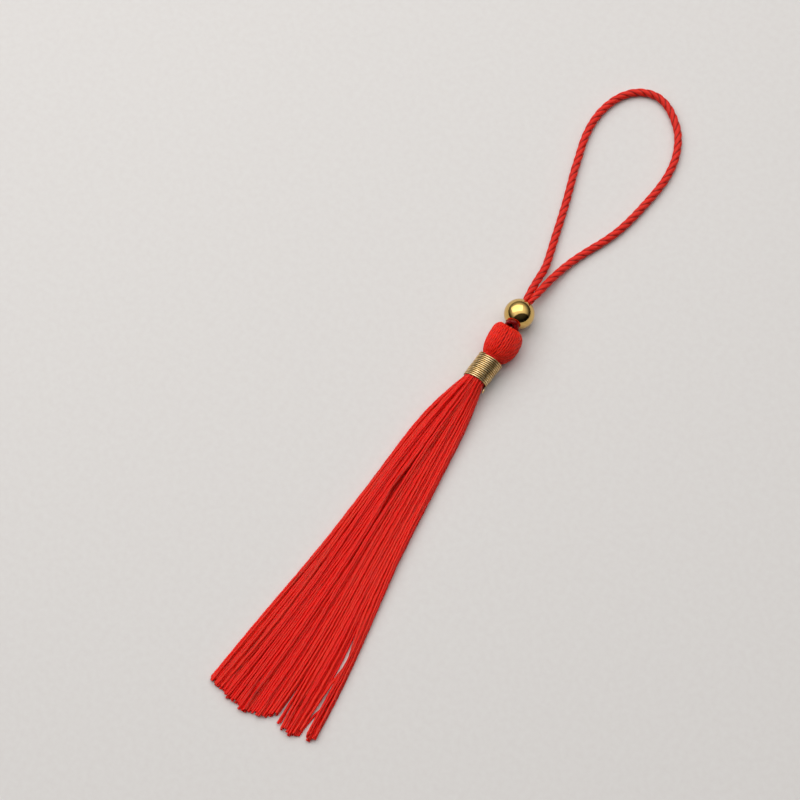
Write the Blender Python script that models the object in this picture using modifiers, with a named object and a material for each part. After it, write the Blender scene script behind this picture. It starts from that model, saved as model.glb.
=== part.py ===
"""Silk tassel with a gold bead and a twisted hanging loop, lying on a flat surface.

Metres, +Z up. The tassel lies along Y with its loop towards +Y and its fringe towards -Y,
and z = 0 is the surface it rests on. Lengths in the tables below are millimetres.
"""
import math

import bmesh
import bpy
import numpy as np
from mathutils import Vector

MM = 0.001

# Gold bead: a polished ball with a bore along Y, through which the loop's two legs pass
BEAD_Y = 42.2
BEAD_RADIUS = 2.8
BEAD_BORE_RADIUS = 1.3
BEAD_STEPS = 28
BEAD_ARC_POINTS = 13

# Knot of the hanging cord, pulled down between the bead and the head
KNOT_TOP = 2.82
KNOT_LENGTH = 0.64
KNOT_RADIUS = 1.55
KNOT_TURNS = 8
KNOT_RELIEF = 0.09
KNOT_ROWS = 5
KNOT_END_ROUNDING = 0.18
KNOT_SLANT = 0.5

# Head: the yarns folded over the cord. Columns: distance below the bead's centre, sideways
# shift of the middle, radius. The first row is the floor of the hollow round the knot, the last
# two are the neck inside the binding.
HEAD_SECTIONS = (
    (3.80, 0.10, 1.40),
    (3.44, 0.12, 2.10),
    (3.62, 0.16, 2.46),
    (4.20, 0.32, 2.90),
    (5.10, 0.46, 3.12),
    (6.30, 0.58, 3.22),
    (7.30, 0.62, 3.18),
    (8.30, 0.60, 2.98),
    (9.05, 0.52, 2.66),
    (9.50, 0.40, 2.20),
    (9.72, 0.32, 1.74),
    (15.80, -0.20, 1.72),
)
HEAD_AXIS_HEIGHT = 3.0
NECK_END_HEIGHT = 2.75
HEAD_RIBS = 26
RIB_RELIEF = 0.07
RIBBED_ROWS = 9

# Gold thread wound round the neck. Columns of an end: distance below the bead's centre, radius
BINDING_TOP = (10.08, 2.36)
BINDING_BOTTOM = (15.42, 2.26)
BINDING_INNER_RADIUS = 2.04
BINDING_TURNS = 14
BINDING_RELIEF = 0.12
BINDING_STEPS = 24

# Fringe outline. Columns: distance below the bead's centre, left edge, right edge
FRINGE_SECTIONS = (
    (15.8, -1.95, 1.55),
    (17.4, -3.85, 2.30),
    (19.4, -4.60, 2.75),
    (22.0, -5.05, 3.15),
    (26.0, -5.40, 3.55),
    (32.0, -5.80, 4.05),
    (40.0, -6.25, 4.95),
    (50.0, -6.90, 6.00),
    (61.0, -8.05, 7.50),
    (73.0, -9.55, 9.45),
    (87.4, -11.15, 11.15),
)
# Cut end of the fringe. Columns: sideways place, distance below the bead's centre
FRINGE_CUT = (
    (-11.0, 85.0),
    (-9.6, 86.0),
    (-8.3, 85.6),
    (-6.1, 86.3),
    (-2.6, 86.9),
    (0.5, 86.2),
    (1.9, 85.3),
    (2.4, 82.6),
    (4.1, 85.9),
    (6.3, 86.6),
    (7.7, 85.2),
    (8.1, 83.6),
    (10.0, 86.4),
    (11.0, 84.4),
)
STRANDS = 88
STRAND_SIDES = 3
STRAND_GAP = 0.07
STRAND_WIDTH_SHARE = 1.8
NECK_STRAND_PITCH = 0.29
FREE_STRAND_PITCH = 0.56
STRAND_RADIUS = 0.25
STRAND_LEAST_RADIUS = 0.09
ROOT_RADIUS = 1.50
ROOT_DEPTH = 1.0

# How the strands settle. The first lengths say where they have spread to the free pitch and
# where their full weight tells; the shares are how far each round moves them towards a
# straight bend, towards their own lane and out of each other's way.
LOOSENING_LENGTH = 8.0
SINKING_LENGTH = 12.0
SAG_SLOPE = 0.25
FRINGE_SOLID_AREA = 26.0
PILE_LIMITS = (0.5, 2.2)
LANE_FILL = 0.97
BEND_SHARE = 0.08
END_BEND_SHARE = 0.05
LANE_SHARE = 0.03
SINK_STEP = 0.004
SOFT_SINK_STEP = 0.012
PUSH_SHARE = 0.28
MIDDLE_PUSH_SHARE = 0.2
MIDDLE_PITCH_SHARE = 0.92
SOFT_ROUNDS_SHARE = 0.85
SETTLE_ROUNDS = 700
SETTLE_SEED = 4
SETTLE_JITTER = 0.0001

# Hanging loop: one twisted cord of three plies. Columns of its middle's points: sideways place,
# distance above the bead's centre, height
CORD_DIAMETER = 1.5
CORD_LAY = 5.3
CORD_STEPS_PER_LAY = 9
CORD_PLIES = 3
CORD_ROUTE = (
    (-0.47, 1.70, 2.80),
    (-0.48, 3.15, 2.76),
    (-0.60, 5.35, 2.46),
    (-0.74, 7.75, 1.98),
    (-0.98, 10.85, 1.24),
    (-1.75, 13.95, 0.84),
    (-2.55, 16.80, 0.76),
    (-3.50, 20.40, 0.76),
    (-4.50, 24.00, 0.76),
    (-5.50, 27.25, 0.76),
    (-6.50, 30.40, 0.76),
    (-7.35, 33.55, 0.76),
    (-8.15, 36.55, 0.76),
    (-8.60, 39.55, 0.76),
    (-8.60, 42.45, 0.76),
    (-8.05, 45.30, 0.76),
    (-6.95, 47.90, 0.76),
    (-5.25, 49.95, 0.76),
    (-3.20, 51.15, 0.76),
    (-0.85, 51.50, 0.76),
    (1.55, 50.80, 0.76),
    (3.80, 49.25, 0.76),
    (5.70, 47.35, 0.76),
    (7.15, 45.00, 0.76),
    (8.25, 41.95, 0.76),
    (8.70, 38.55, 0.76),
    (8.60, 35.25, 0.76),
    (8.15, 31.80, 0.76),
    (7.50, 27.85, 0.76),
    (6.60, 24.15, 0.76),
    (5.40, 21.00, 0.76),
    (3.95, 17.90, 0.76),
    (2.65, 14.80, 0.85),
    (1.70, 11.55, 1.22),
    (1.08, 8.15, 1.92),
    (0.76, 5.45, 2.42),
    (0.48, 3.15, 2.76),
    (0.47, 1.70, 2.80),
)
# One ply of the cord's cross-section. Columns: degrees from the valley, share of the radius
PLY_POINTS = (
    (0, 0.70),
    (38, 1.0),
    (82, 1.0),
)
ROUTE_STEPS = 24
# The legs are pressed together at the bead. Columns: distance above its centre, share of the
# full diameter
CORD_PRESS = (
    (1.65, 0.54),
    (3.15, 0.56),
    (5.45, 0.78),
    (8.45, 1.00),
)


def below(distance):
    """The Y of a place that lies this many millimetres below the bead's centre."""
    return BEAD_Y - distance


def clear_scene():
    for item in list(bpy.data.objects):
        bpy.data.objects.remove(item, do_unlink=True)


def make_collection(name):
    collection = bpy.data.collections.new(name)
    bpy.context.scene.collection.children.link(collection)
    return collection


def make_material(name, colour, roughness, metallic=0.0):
    material = bpy.data.materials.new(name)
    material.use_nodes = True
    shader = material.node_tree.nodes["Principled BSDF"]
    shader.inputs["Base Color"].default_value = (*colour, 1.0)
    shader.inputs["Roughness"].default_value = roughness
    shader.inputs["Metallic"].default_value = metallic
    material.diffuse_color = (*colour, 1.0)
    return material


def add_object(name, mesh, collection, material=None):
    item = bpy.data.objects.new(name, mesh)
    collection.objects.link(item)
    if material is not None:
        mesh.materials.append(material)
    return item


def loft(bm, rings):
    """Closed body through rings of equal point counts, with flat ends."""
    loops = [[bm.verts.new(Vector(point) * MM) for point in ring] for ring in rings]
    count = len(loops[0])
    for near, far in zip(loops, loops[1:]):
        for i in range(count):
            j = (i + 1) % count
            bm.faces.new((near[i], near[j], far[j], far[i]))
    bm.faces.new(loops[0])
    bm.faces.new(loops[-1])


def finish_mesh(bm, name):
    bmesh.ops.recalc_face_normals(bm, faces=bm.faces)
    mesh = bpy.data.meshes.new(name)
    bm.to_mesh(mesh)
    bm.free()
    return mesh


def head_mesh():
    """Bulb with lengthwise ribs and the neck below it, flat where it rests on the surface."""
    first, last = HEAD_SECTIONS[0][0], HEAD_SECTIONS[-1][0]
    rings = []
    for row, (distance, shift, radius) in enumerate(HEAD_SECTIONS):
        share = (distance - first) / (last - first)
        height = HEAD_AXIS_HEIGHT + (NECK_END_HEIGHT - HEAD_AXIS_HEIGHT) * share
        ring = []
        for i in range(2 * HEAD_RIBS):
            angle = math.pi * i / HEAD_RIBS
            relief = RIB_RELIEF if i % 2 and row < RIBBED_ROWS else 0.0
            reach = radius - relief
            x = shift + reach * math.cos(angle)
            z = max(0.0, height + reach * math.sin(angle))
            ring.append((x, below(distance), z))
        rings.append(ring)
    bm = bmesh.new()
    loft(bm, rings)
    return finish_mesh(bm, "head")


def sunflower(count, radius):
    """Evenly spread places in a disc."""
    k = np.arange(count)
    reach = radius * np.sqrt((k + 0.5) / count)
    angle = k * math.pi * (3 - math.sqrt(5))
    return reach * np.cos(angle), reach * np.sin(angle)


def push_apart(x, z, pitch):
    """Moves that take strands nearer than the pitch away from each other."""
    dx = x[:, None, :] - x[None, :, :]
    dz = z[:, None, :] - z[None, :, :]
    distance = np.sqrt(dx ** 2 + dz ** 2) + 1e-9
    short = np.clip(pitch - distance, 0.0, None)
    short[np.arange(len(x)), np.arange(len(x))] = 0.0
    return (short * dx / distance).sum(axis=1), (short * dz / distance).sum(axis=1)


def settle_strands():
    """Sideways places and heights of the strands' middles at each row of the fringe's table.

    The strands leave the neck evenly spread, fan out to the outline, sink on to the surface
    and keep a pitch from each other, as bent yarns do.
    """
    down, left, right = np.array(FRINGE_SECTIONS).T
    loose = np.clip((down - down[0]) / LOOSENING_LENGTH, 0.0, 1.0)
    loose = loose * loose * (3 - 2 * loose)
    pitch = NECK_STRAND_PITCH + (FREE_STRAND_PITCH - NECK_STRAND_PITCH) * loose
    middle, half = (left + right) / 2, (right - left) / 2
    root_x, root_z = sunflower(STRANDS, ROOT_RADIUS)
    rank = np.empty(STRANDS)
    rank[np.argsort(root_x)] = (np.arange(STRANDS) + 0.5) / STRANDS * 2 - 1
    lane = 0.5 * rank + 0.5 * root_x / ROOT_RADIUS
    pile = np.clip(FRINGE_SOLID_AREA / (math.pi * half), *PILE_LIMITS)
    sag = np.clip(NECK_END_HEIGHT - SAG_SLOPE * (down - down[0]), 0.0, None)
    x = middle + np.outer(lane, half) * LANE_FILL
    z = np.maximum(sag, pile) + np.outer(root_z / ROOT_RADIUS, pile)
    neck_x = middle[0] + root_x
    neck_z = NECK_END_HEIGHT + root_z
    rng = np.random.default_rng(SETTLE_SEED)
    x += rng.normal(0.0, SETTLE_JITTER, x.shape)
    aim = x.copy()
    near_weight = 1.0 / (down[1:-1] - down[:-2])
    far_weight = 1.0 / (down[2:] - down[1:-1])
    reach = (down[-1] - down[-2]) / (down[-2] - down[-3])
    free_fall = np.minimum(1.0, (down - down[0]) / SINKING_LENGTH)
    floor = STRAND_RADIUS / 2
    for step in range(SETTLE_ROUNDS):
        soft = max(0.0, 1.0 - step / (SOFT_ROUNDS_SHARE * SETTLE_ROUNDS))
        for place in (x, z):
            mean = place[:, :-2] * near_weight + place[:, 2:] * far_weight
            mean /= near_weight + far_weight
            place[:, 1:-1] += BEND_SHARE * soft * (mean - place[:, 1:-1])
            straight = place[:, -2] + (place[:, -2] - place[:, -3]) * reach
            place[:, -1] += END_BEND_SHARE * soft * (straight - place[:, -1])
        x += LANE_SHARE * soft * (aim - x)
        z -= (SINK_STEP + SOFT_SINK_STEP * soft) * free_fall
        move_x, move_z = push_apart(x, z, pitch)
        x += PUSH_SHARE * move_x
        z += PUSH_SHARE * move_z
        half_pitch = (pitch[1:] + pitch[:-1]) / 2 * MIDDLE_PITCH_SHARE
        middle_x, middle_z = (x[:, 1:] + x[:, :-1]) / 2, (z[:, 1:] + z[:, :-1]) / 2
        moves = push_apart(middle_x, middle_z, half_pitch)
        for place, move in zip((x, z), moves):
            place[:, 1:] += MIDDLE_PUSH_SHARE * move
            place[:, :-1] += MIDDLE_PUSH_SHARE * move
        z = np.maximum(z, floor)
        x = np.clip(x, left + STRAND_RADIUS, right - STRAND_RADIUS)
        x[:, 0] = neck_x
        z[:, 0] = neck_z
    return down, x, z


def nearest_gap(x, z, samples=4):
    """For each strand and row, the least distance to another strand's middle near that row."""
    rows = x.shape[1]
    least = np.full(x.shape, np.inf)
    for row in range(rows - 1):
        for part in range(samples + 1):
            share = part / samples
            px = x[:, row] * (1 - share) + x[:, row + 1] * share
            pz = z[:, row] * (1 - share) + z[:, row + 1] * share
            distance = np.hypot(px[:, None] - px, pz[:, None] - pz)
            np.fill_diagonal(distance, np.inf)
            nearest = distance.min(axis=1)
            least[:, row] = np.minimum(least[:, row], nearest)
            least[:, row + 1] = np.minimum(least[:, row + 1], nearest)
    return least


def strand_mesh():
    """Three-sided strands that stand apart, flat side down, rooted in the neck."""
    down, x, z = settle_strands()
    gap = nearest_gap(x, z)
    thick = np.clip((gap - STRAND_GAP) / STRAND_WIDTH_SHARE, STRAND_LEAST_RADIUS, STRAND_RADIUS)
    cut_x, cut_down = np.array(FRINGE_CUT).T
    bm = bmesh.new()
    for strand in range(STRANDS):
        end = np.interp(x[strand, -1], cut_x, cut_down)
        rows = [(down[0] - ROOT_DEPTH, x[strand, 0], z[strand, 0], thick[strand, 0])]
        rows += list(zip(down[:-1], x[strand], z[strand], thick[strand]))
        rows.append((end, *(np.interp(end, down, values[strand]) for values in (x, z, thick))))
        rings = []
        for distance, px, pz, radius in rows:
            ring = []
            for side in range(STRAND_SIDES):
                angle = math.pi / 2 + 2 * math.pi * side / STRAND_SIDES
                ring.append((px + radius * math.cos(angle), below(distance), pz + radius * math.sin(angle)))
            rings.append(ring)
        loft(bm, rings)
    return finish_mesh(bm, "strands")


def make_silk(collection, cutters):
    """Head, neck and fringe: the yarns are one piece, folded over and tied."""
    silk = make_material("red_silk", (0.55, 0.010, 0.008), 0.45)
    tassel = add_object("silk_tassel", head_mesh(), collection, silk)
    fringe = add_object("fringe_strands", strand_mesh(), cutters)
    fringe.hide_render = True
    fringe.display_type = "WIRE"
    union = tassel.modifiers.new("fringe", "BOOLEAN")
    union.operation = "UNION"
    union.solver = "EXACT"
    union.object = fringe


def turned_object(name, profile, steps, collection, material):
    """A closed outline of (radius, height) turned round Z, with the outer side first, top down."""
    mesh = bpy.data.meshes.new(name)
    points = [(radius * MM, 0.0, height * MM) for radius, height in profile]
    edges = [(i, (i + 1) % len(points)) for i in range(len(points))]
    mesh.from_pydata(points, edges, [])
    item = add_object(name, mesh, collection, material)
    screw = item.modifiers.new("turn", "SCREW")
    screw.axis = "Z"
    screw.angle = 2 * math.pi
    screw.steps = steps
    screw.render_steps = steps
    screw.use_merge_vertices = True
    screw.merge_threshold = 0.00001
    screw.use_smooth_shade = True
    return item


def make_binding(collection):
    """Gold thread wound side by side round the neck, each turn a raised ring."""
    gold_thread = make_material("gold_thread", (0.52, 0.33, 0.12), 0.35, 1.0)
    top, top_radius = BINDING_TOP
    bottom, bottom_radius = BINDING_BOTTOM
    length = bottom - top
    rings = 2 * BINDING_TURNS
    profile = []
    for i in range(rings + 1):
        share = i / rings
        radius = top_radius + (bottom_radius - top_radius) * share
        relief = 0.0 if i % 2 else BINDING_RELIEF
        profile.append((radius - relief, length / 2 - length * share))
    profile.append((BINDING_INNER_RADIUS, -length / 2))
    profile.append((BINDING_INNER_RADIUS, length / 2))
    item = turned_object("neck_binding", profile, BINDING_STEPS, collection, gold_thread)
    neck_top, neck_end = HEAD_SECTIONS[-2], HEAD_SECTIONS[-1]
    first = HEAD_SECTIONS[0][0]
    drop = (NECK_END_HEIGHT - HEAD_AXIS_HEIGHT) / (neck_end[0] - first)
    middle = (top + bottom) / 2
    share = (middle - neck_top[0]) / (neck_end[0] - neck_top[0])
    shift = neck_top[1] + (neck_end[1] - neck_top[1]) * share
    lean = (neck_end[1] - neck_top[1]) / (neck_end[0] - neck_top[0])
    item.location = Vector((shift, below(middle), HEAD_AXIS_HEIGHT + drop * (middle - first))) * MM
    item.rotation_mode = "QUATERNION"
    item.rotation_quaternion = Vector((-lean, 1.0, -drop)).to_track_quat("Z", "X")


def make_bead(collection):
    """Polished ball with a bore through it."""
    gold = make_material("polished_gold", (0.83, 0.60, 0.20), 0.12, 1.0)
    edge = math.asin(BEAD_BORE_RADIUS / BEAD_RADIUS)
    profile = []
    for i in range(BEAD_ARC_POINTS):
        angle = edge + (math.pi - 2 * edge) * i / (BEAD_ARC_POINTS - 1)
        profile.append((BEAD_RADIUS * math.sin(angle), BEAD_RADIUS * math.cos(angle)))
    item = turned_object("bead", profile, BEAD_STEPS, collection, gold)
    item.location = Vector((0.0, BEAD_Y, BEAD_RADIUS)) * MM
    item.rotation_euler = (-math.pi / 2, 0.0, 0.0)


def make_knot(collection):
    """Flat knot of the hanging cord, its turns raised as slanting ridges."""
    dark_silk = make_material("dark_red_cord", (0.16, 0.006, 0.008), 0.4)
    points = 3 * KNOT_TURNS
    rings = []
    for row in range(KNOT_ROWS):
        share = row / (KNOT_ROWS - 1)
        bulge = math.sin(math.pi * (KNOT_END_ROUNDING + (1 - 2 * KNOT_END_ROUNDING) * share))
        ring = []
        for i in range(points):
            ridge = math.cos(2 * math.pi * (i / 3 - KNOT_SLANT * share))
            reach = KNOT_RADIUS * bulge - KNOT_RELIEF * (1 - ridge) / 2
            angle = 2 * math.pi * i / points
            height = BEAD_RADIUS + reach * math.sin(angle)
            ring.append((reach * math.cos(angle), below(KNOT_TOP + KNOT_LENGTH * share), height))
        rings.append(ring)
    bm = bmesh.new()
    loft(bm, rings)
    add_object("top_knot", finish_mesh(bm, "top_knot"), collection, dark_silk)


def smooth_route(points, step):
    """Places a step apart along a smooth curve through the points, in millimetres."""
    points = np.array(points)
    padded = np.vstack([2 * points[0] - points[1], points, 2 * points[-1] - points[-2]])
    share = np.linspace(0.0, 1.0, ROUTE_STEPS, endpoint=False)[:, None]
    dense = []
    for a, b, c, d in zip(padded, padded[1:], padded[2:], padded[3:]):
        curve = 2 * b + (c - a) * share + (2 * a - 5 * b + 4 * c - d) * share ** 2
        dense.append((curve + (3 * b - a - 3 * c + d) * share ** 3) / 2)
    dense = np.vstack([*dense, points[-1:]])
    along = np.concatenate([[0.0], np.cumsum(np.linalg.norm(np.diff(dense, axis=0), axis=1))])
    count = round(along[-1] / step)
    places = np.linspace(0.0, along[-1], count + 1)
    return np.column_stack([np.interp(places, along, dense[:, axis]) for axis in range(3)])


def ply_outline(collection):
    """Cross-section of three plies laid together, as a closed flat curve of unit radius."""
    curve = bpy.data.curves.new("ply_outline", "CURVE")
    curve.dimensions = "2D"
    spline = curve.splines.new("POLY")
    span = 360 / CORD_PLIES
    points = [(-span * ply - offset, reach) for ply in range(CORD_PLIES) for offset, reach in PLY_POINTS]
    spline.points.add(len(points) - 1)
    for point, (degrees, reach) in zip(spline.points, points):
        angle = math.radians(degrees)
        radius = CORD_DIAMETER / 2 * reach * MM
        point.co = (radius * math.cos(angle), radius * math.sin(angle), 0.0, 1.0)
    spline.use_cyclic_u = True
    outline = bpy.data.objects.new("ply_outline", curve)
    collection.objects.link(outline)
    outline.hide_render = True
    outline.display_type = "WIRE"
    return outline


def make_loop(collection, cutters):
    """Hanging loop: a three-ply cord whose section turns along it, so the plies stand out."""
    red_cord = make_material("red_cord", (0.50, 0.012, 0.012), 0.4)
    places = smooth_route(CORD_ROUTE, CORD_LAY / CORD_STEPS_PER_LAY)
    press_above, press = np.array(CORD_PRESS).T
    curve = bpy.data.curves.new("hanging_loop", "CURVE")
    curve.dimensions = "3D"
    curve.twist_mode = "Z_UP"
    curve.bevel_mode = "OBJECT"
    curve.bevel_object = ply_outline(cutters)
    curve.use_fill_caps = True
    spline = curve.splines.new("POLY")
    spline.points.add(len(places) - 1)
    for i, (point, place) in enumerate(zip(spline.points, places)):
        x, above, height = place
        point.co = (x * MM, (BEAD_Y + above) * MM, height * MM, 1.0)
        point.radius = np.interp(above, press_above, press)
        point.tilt = 2 * math.pi * i / CORD_STEPS_PER_LAY
    loop = bpy.data.objects.new("hanging_loop", curve)
    collection.objects.link(loop)
    curve.materials.append(red_cord)


def build():
    clear_scene()
    parts = make_collection("silk_tassel_parts")
    cutters = make_collection("guides")
    make_silk(parts, cutters)
    make_binding(parts)
    make_bead(parts)
    make_knot(parts)
    make_loop(parts, cutters)


build()
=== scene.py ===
"""Looks of a red silk tassel with a gold bead and a twisted hanging loop, lying on a pale table.

Metres, +Z up, in the part's own frame. The tassel lies along Y, loop towards +Y and fringe
towards -Y. Sizes named ..._MM and the tables of places are millimetres.
"""
import math

import bmesh
import bpy
import numpy as np
from mathutils import Matrix, Vector


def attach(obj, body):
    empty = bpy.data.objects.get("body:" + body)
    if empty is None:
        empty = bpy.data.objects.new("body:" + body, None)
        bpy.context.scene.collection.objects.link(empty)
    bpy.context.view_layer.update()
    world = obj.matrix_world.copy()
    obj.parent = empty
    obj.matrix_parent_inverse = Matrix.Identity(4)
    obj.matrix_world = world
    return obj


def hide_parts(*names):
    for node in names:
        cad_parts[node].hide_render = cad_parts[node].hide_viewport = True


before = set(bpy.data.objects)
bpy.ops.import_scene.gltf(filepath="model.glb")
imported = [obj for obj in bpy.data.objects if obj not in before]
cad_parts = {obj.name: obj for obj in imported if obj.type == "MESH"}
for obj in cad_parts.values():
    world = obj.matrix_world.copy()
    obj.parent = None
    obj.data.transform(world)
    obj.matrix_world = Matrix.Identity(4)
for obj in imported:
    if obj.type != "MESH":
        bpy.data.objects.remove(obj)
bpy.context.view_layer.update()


# Camera
# Looks down from above the fringe, leaning 19 degrees off the vertical. Its place, directions and
# focal length make the render line up with the photograph.
CAMERA_PLACE = Vector((0.07331, -0.09928, 0.41699))
CAMERA_RIGHT = Vector((0.8451, 0.5343, -0.0192))
CAMERA_FORWARD = Vector((-0.1891, 0.2651, -0.9455))
CAMERA_FOCAL_PIXELS = 2447.2
IMAGE_PIXELS = 800
SENSOR_MM = 36.0

camera_data = bpy.data.cameras.new("camera")
camera_data.sensor_width = SENSOR_MM
camera_data.lens = CAMERA_FOCAL_PIXELS / IMAGE_PIXELS * SENSOR_MM
camera_data.clip_start = 0.01
camera = bpy.data.objects.new("camera", camera_data)
back = -CAMERA_FORWARD.normalized()
right = (CAMERA_RIGHT - back * CAMERA_RIGHT.dot(back)).normalized()
up = back.cross(right)
camera_turn = Matrix((right, up, back)).transposed().to_4x4()
camera.matrix_world = Matrix.Translation(CAMERA_PLACE) @ camera_turn
bpy.context.scene.collection.objects.link(camera)
bpy.context.scene.camera = camera
bpy.context.scene.view_settings.view_transform = "Standard"


# Hanging loop
# One cord of three red silk plies laid together to the right, doubled into a loop. Both of its
# legs go down through the bead to the knot. It lies on the table and rises to the bead's bore.
MM = 0.001
# Distances above or below the bead's centre are counted along Y from here
BEAD_Y_MM = 42.2
CORD_DIAMETER_MM = 1.5
CORD_LAY_MM = 5.3
CORD_PLIES = 3
CORD_STEP_MM = 0.25
# Columns: sideways place, distance above the bead's centre, height
CORD_ROUTE = (
    (-0.47, 1.70, 2.80),
    (-0.48, 3.15, 2.76),
    (-0.60, 5.35, 2.46),
    (-0.74, 7.75, 1.98),
    (-0.98, 10.85, 1.24),
    (-1.75, 13.95, 0.84),
    (-2.55, 16.80, 0.76),
    (-3.50, 20.40, 0.76),
    (-4.50, 24.00, 0.76),
    (-5.50, 27.25, 0.76),
    (-6.50, 30.40, 0.76),
    (-7.35, 33.55, 0.76),
    (-8.15, 36.55, 0.76),
    (-8.60, 39.55, 0.76),
    (-8.60, 42.45, 0.76),
    (-8.05, 45.30, 0.76),
    (-6.95, 47.90, 0.76),
    (-5.25, 49.95, 0.76),
    (-3.20, 51.15, 0.76),
    (-0.85, 51.50, 0.76),
    (1.55, 50.80, 0.76),
    (3.80, 49.25, 0.76),
    (5.70, 47.35, 0.76),
    (7.15, 45.00, 0.76),
    (8.25, 41.95, 0.76),
    (8.70, 38.55, 0.76),
    (8.60, 35.25, 0.76),
    (8.15, 31.80, 0.76),
    (7.50, 27.85, 0.76),
    (6.60, 24.15, 0.76),
    (5.40, 21.00, 0.76),
    (3.95, 17.90, 0.76),
    (2.65, 14.80, 0.85),
    (1.70, 11.55, 1.22),
    (1.08, 8.15, 1.92),
    (0.76, 5.45, 2.42),
    (0.48, 3.15, 2.76),
    (0.47, 1.70, 2.80),
)
# The legs are pressed together at the bead. Columns: distance above its centre, share of the
# full diameter
CORD_PRESS = (
    (1.65, 0.68),
    (3.15, 0.74),
    (5.45, 0.96),
    (7.45, 1.00),
)


def linear(hex_colour):
    """An sRGB hex colour as linear RGBA."""
    values = [int(hex_colour[i:i + 2], 16) / 255 for i in (1, 3, 5)]
    return (*[v / 12.92 if v <= 0.04045 else ((v + 0.055) / 1.055) ** 2.4 for v in values], 1.0)


def add_node(tree, kind, settings=None, links=None):
    """Adds a node. Settings name its own properties or its inputs; links give each input's source."""
    node = tree.nodes.new(kind)
    for key, value in (settings or {}).items():
        if isinstance(key, str) and hasattr(node, key):
            setattr(node, key, value)
        else:
            node.inputs[key].default_value = value
    for key, source in (links or {}).items():
        tree.links.new(source, node.inputs[key])
    return node


def new_material(name):
    """A material with an empty tree, its Principled shader and output."""
    material = bpy.data.materials.new(name)
    material.use_nodes = True
    tree = material.node_tree
    tree.nodes.clear()
    shader = add_node(tree, "ShaderNodeBsdfPrincipled")
    add_node(tree, "ShaderNodeOutputMaterial", links={"Surface": shader.outputs["BSDF"]})
    return material, tree, shader


def ramp_node(tree, source, stops):
    """A colour ramp over (place, hex colour) stops."""
    ramp = add_node(tree, "ShaderNodeValToRGB", links={"Fac": source})
    elements = ramp.color_ramp.elements
    while len(elements) < len(stops):
        elements.new(0.5)
    for element, (place, colour) in zip(elements, stops):
        element.position = place
        element.color = linear(colour)
    return ramp


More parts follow.
